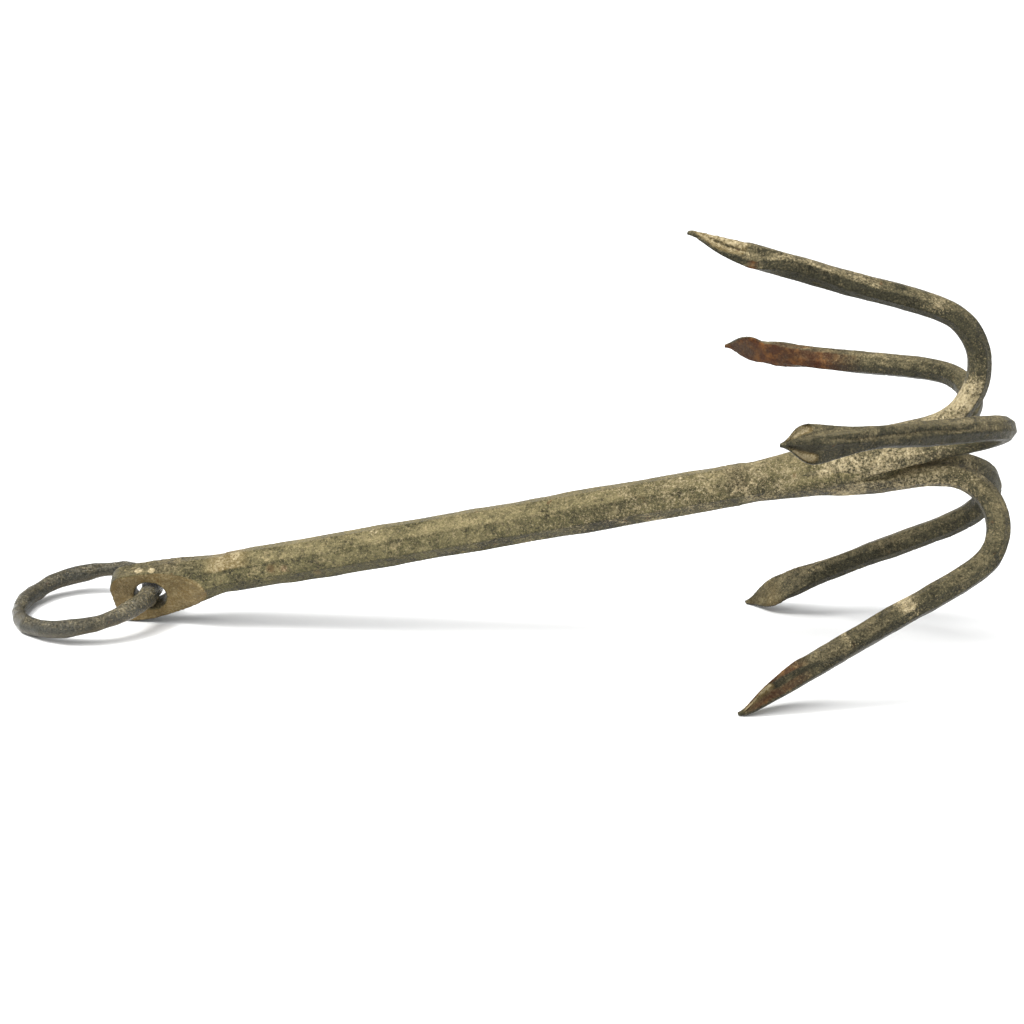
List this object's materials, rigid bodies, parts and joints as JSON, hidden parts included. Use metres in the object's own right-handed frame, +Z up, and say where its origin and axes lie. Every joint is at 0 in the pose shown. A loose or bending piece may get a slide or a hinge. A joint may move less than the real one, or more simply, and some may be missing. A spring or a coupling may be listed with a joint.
{
  "type": "grapnel anchor",
  "caption": "Hand-forged grapnel anchor: a straight octagonal shank with a ring through its flattened eye and five hooked arms welded round the crown.",
  "frame": {"origin": "on the surface that the anchor lies on, under the middle of its box", "axes": "+X from the ring's end to the crown, level; +Y to the side away from the hammered eye's front face; +Z up"},
  "size_m": [0.6022, 0.2832, 0.2626],
  "materials": {
    "shank_iron": "old forged iron, hammered, brown patina with tan dust",
    "arm_iron": "old forged iron, hammered, olive brown with tan and rust in the hollows",
    "ring_iron": "dark forged iron, hammered, blue grey with worn high spots"
  },
  "bodies": {
    "anchor": {"shank": "shank_iron", "top_arm": "arm_iron", "far_upper_arm": "arm_iron", "far_lower_arm": "arm_iron", "near_lower_arm": "arm_iron", "near_upper_arm": "arm_iron"},
    "ring": {"ring": "ring_iron"}
  },
  "joints": [
    {"name": "ring_swing", "type": "hinge", "parent": "anchor", "child": "ring", "pos_m": [-0.21581, 0.00126, 0.0216], "axis": [-0.0663, 0.9609, 0.2689], "range_deg": [-165, 158]}
  ]
}
